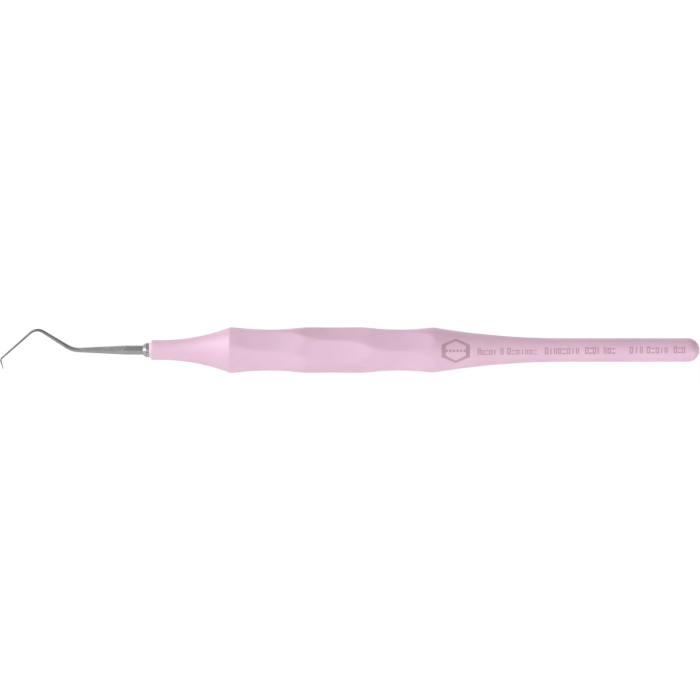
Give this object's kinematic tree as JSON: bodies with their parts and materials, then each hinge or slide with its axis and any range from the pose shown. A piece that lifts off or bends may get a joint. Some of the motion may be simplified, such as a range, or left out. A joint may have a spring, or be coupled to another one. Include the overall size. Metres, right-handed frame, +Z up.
{
  "type": "dental explorer",
  "caption": "Dental explorer with a bent hooked steel point, a six-sided tapered shank, a bevelled ferrule and a moulded resin grip with staggered finger scallops.",
  "frame": {"origin": "under the middle of the whole length, on the surface that the grip lies on", "axes": "+X along the handle's axis towards its rear end, +Z up with a scallop of each outer row facing straight down, and the outer side of the shank's second bend towards +Y and 26 degrees up"},
  "size_m": [0.175, 0.0114, 0.0114],
  "materials": {
    "working_steel": "satin ground",
    "collar_steel": "turned and polished",
    "washer_plastic": "smooth",
    "bush_brass": "turned",
    "pin_steel": "ground",
    "tube_steel": "drawn",
    "plug_rubber": "moulded",
    "grip_resin": "satin moulded"
  },
  "bodies": {
    "root": {"working_end": "working_steel", "front_collar": "collar_steel", "seal_washer": "washer_plastic", "tang_bush": "bush_brass", "tang_pin": "pin_steel", "core_tube": "tube_steel", "rear_plug": "plug_rubber", "grip_body": "grip_resin"}
  },
  "joints": []
}
